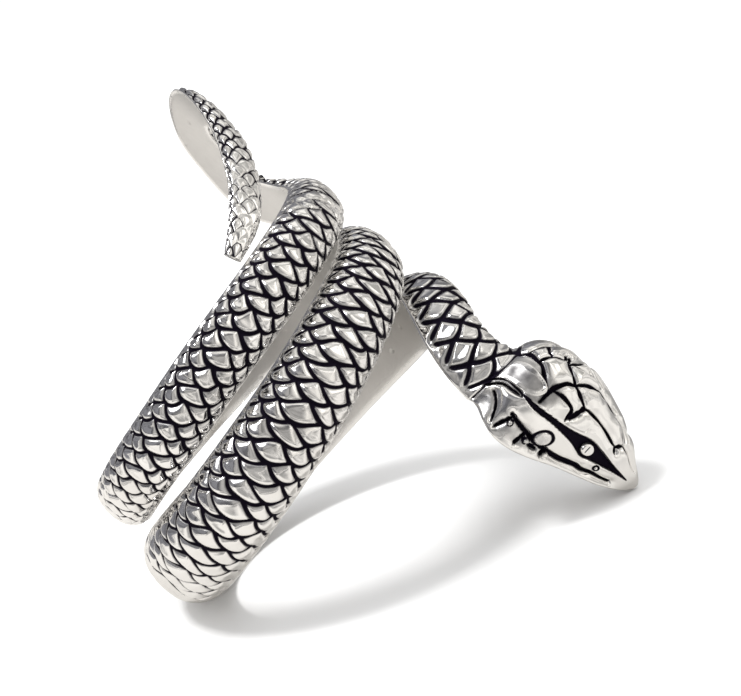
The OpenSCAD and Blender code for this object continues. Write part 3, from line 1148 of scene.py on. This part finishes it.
def add_camera():
    """The photo's viewpoint: placed round the ring as it lies, so that it is seen as in the photo.

    Returns the camera's axes in the floor's directions: across, up and towards the viewer."""
    a, b, roll = np.radians([VIEW_TURN, VIEW_DROP, VIEW_ROLL])
    towards = np.array([-np.sin(a) * np.cos(b), np.sin(b), np.cos(a) * np.cos(b)])
    right = unit(np.cross([0, 1, 0], towards))
    over = np.cross(towards, right)
    to_ring = np.array([[1, 0, 0], [0, 0, -1], [0, 1, 0]], float)
    turn = REST @ to_ring
    x = np.cos(roll) * right + np.sin(roll) * over
    y = -np.sin(roll) * right + np.cos(roll) * over
    place = CAMERA_PLACE[0] * right + CAMERA_PLACE[1] * over + CAMERA_PLACE[2] * towards
    lens = bpy.data.cameras.new("camera")
    lens.lens = LENS
    lens.sensor_width = SENSOR_WIDTH
    lens.clip_start = NEAREST_SEEN * MM
    axes = turn @ x, turn @ y, turn @ towards
    camera = bpy.data.objects.new("camera", lens)
    bpy.context.scene.camera = placed(camera, *axes, turn @ place * MM)
    return axes


def in_camera_axes(axes, direction):
    """A direction given in the camera's axes, as a vector of length 1 in the floor's directions"""
    across, up, back = direction
    return unit(across * axes[0] + up * axes[1] + back * axes[2])


def add_key_light(axes):
    """A small square soft light that faces the ring"""
    light = bpy.data.lights.new("key", "AREA")
    light.size = KEY_SIZE
    light.energy = KEY_WATTS
    back = in_camera_axes(axes, KEY_DIRECTION)
    across = unit(np.cross(UPWARD, back))
    placed(bpy.data.objects.new("key", light), across, np.cross(back, across), back, KEY_DISTANCE * back)


def add_floor(low):
    """A wide disc just under the ring, dished upwards with the square of the distance.

    It is pale to the camera, and every other ray finds a darker mottled colour, a painted reflection that
    the metal mirrors."""
    radii = np.linspace(FLOOR_FIRST_ROW, 1.0, FLOOR_ROWS) ** 2 * FLOOR_R
    turns = np.linspace(0, 2 * np.pi, FLOOR_SIDES + 1)[:-1]
    r, t = np.meshgrid(radii, turns, indexing="ij")
    z = low + FLOOR_RISE * (r / FLOOR_R) ** 2
    points = np.stack([r * np.cos(t), r * np.sin(t), z], -1)
    a = np.arange(r.size).reshape(r.shape)
    b = np.roll(a, -1, 1)
    quads = np.stack([a[:-1], a[1:], b[1:], b[:-1]], -1).reshape(-1, 4)
    mesh = bpy.data.meshes.new("floor")
    mesh.from_pydata(points.reshape(-1, 3).tolist(), [], quads.tolist() + [a[0].tolist()])
    paint = bpy.data.materials.new("pale_floor")
    paint.use_nodes = True
    tree = paint.node_tree
    shader = tree.nodes["Principled BSDF"]
    place = tree.nodes.new("ShaderNodeTexCoord").outputs["Object"]
    camera_ray = tree.nodes.new("ShaderNodeLightPath").outputs["Is Camera Ray"]
    # Camera rays see the pale floor. All other rays see the darker colour, which is painted for the metal's
    # reflections.
    seen = mixed(tree, camera_ray, mottled(tree, place, PAINTED_FLOOR_REFLECTION), mottled(tree, place, PALE_FLOOR))
    tree.links.new(seen, shader.inputs["Base Color"])
    shader.inputs["Roughness"].default_value = FLOOR_ROUGHNESS
    mesh.materials.append(paint)
    in_scene(bpy.data.objects.new("floor", mesh))


def add_world(axes):
    """White to the camera, and to the metal a room: shaded on one side, lit on the other and
    above, with two windows, duller round the camera, and mottled all over"""
    world = bpy.data.worlds.new("studio")
    bpy.context.scene.world = world
    world.use_nodes = True
    tree = world.node_tree
    tree.nodes.clear()
    place = tree.nodes.new("ShaderNodeTexCoord").outputs["Generated"]
    room = SHADED_SIDE
    for direction, fade, colour in ROOM.values():
        towards = {0: place, 1: tuple(map(float, in_camera_axes(axes, direction)))}
        cosine = node(tree, "ShaderNodeVectorMath", towards, operation="DOT_PRODUCT").outputs["Value"]
        patch = spread(tree, cosine, fade, interpolation_type="SMOOTHSTEP")
        room = mixed(tree, patch, room, colour)
    mottle = spread(tree, noise(tree, place, *MOTTLE), MOTTLE_SPAN, MOTTLE_BRIGHTNESS)
    room = node(tree, "ShaderNodeVectorMath", operation="SCALE", inputs={0: room, "Scale": mottle})
    studio = node(tree, "ShaderNodeBackground", {"Color": room.outputs[0], "Strength": 1.0})
    plain = node(tree, "ShaderNodeBackground", {"Color": (*BACKGROUND, 1), "Strength": 1.0})
    glossy_ray = tree.nodes.new("ShaderNodeLightPath").outputs["Is Glossy Ray"]
    both = node(tree, "ShaderNodeMixShader", {0: glossy_ray, 1: plain.outputs[0], 2: studio.outputs[0]})
    node(tree, "ShaderNodeOutputWorld", {"Surface": both.outputs[0]})


camera_axes = add_camera()
snake = make_snake()
tarnish, wear = tarnish_and_shade_effect(), wear_effect()
scaled_silver = silver("scaled_silver", tarnish, wear, BODY_VEIL, BODY_BUMP)
head_silver = silver("head_silver", tarnish, wear, HEAD_VEIL, HEAD_BUMP)
for made in snake:
    made.data.materials.append(head_silver if made.name == "head" else scaled_silver)
    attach(made, "root")
    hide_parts("snake")

add_floor(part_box("snake")[0].z)
add_world(camera_axes)
add_key_light(camera_axes)

bpy.context.scene.view_settings.view_transform = "Standard"
bpy.context.view_layer.update()
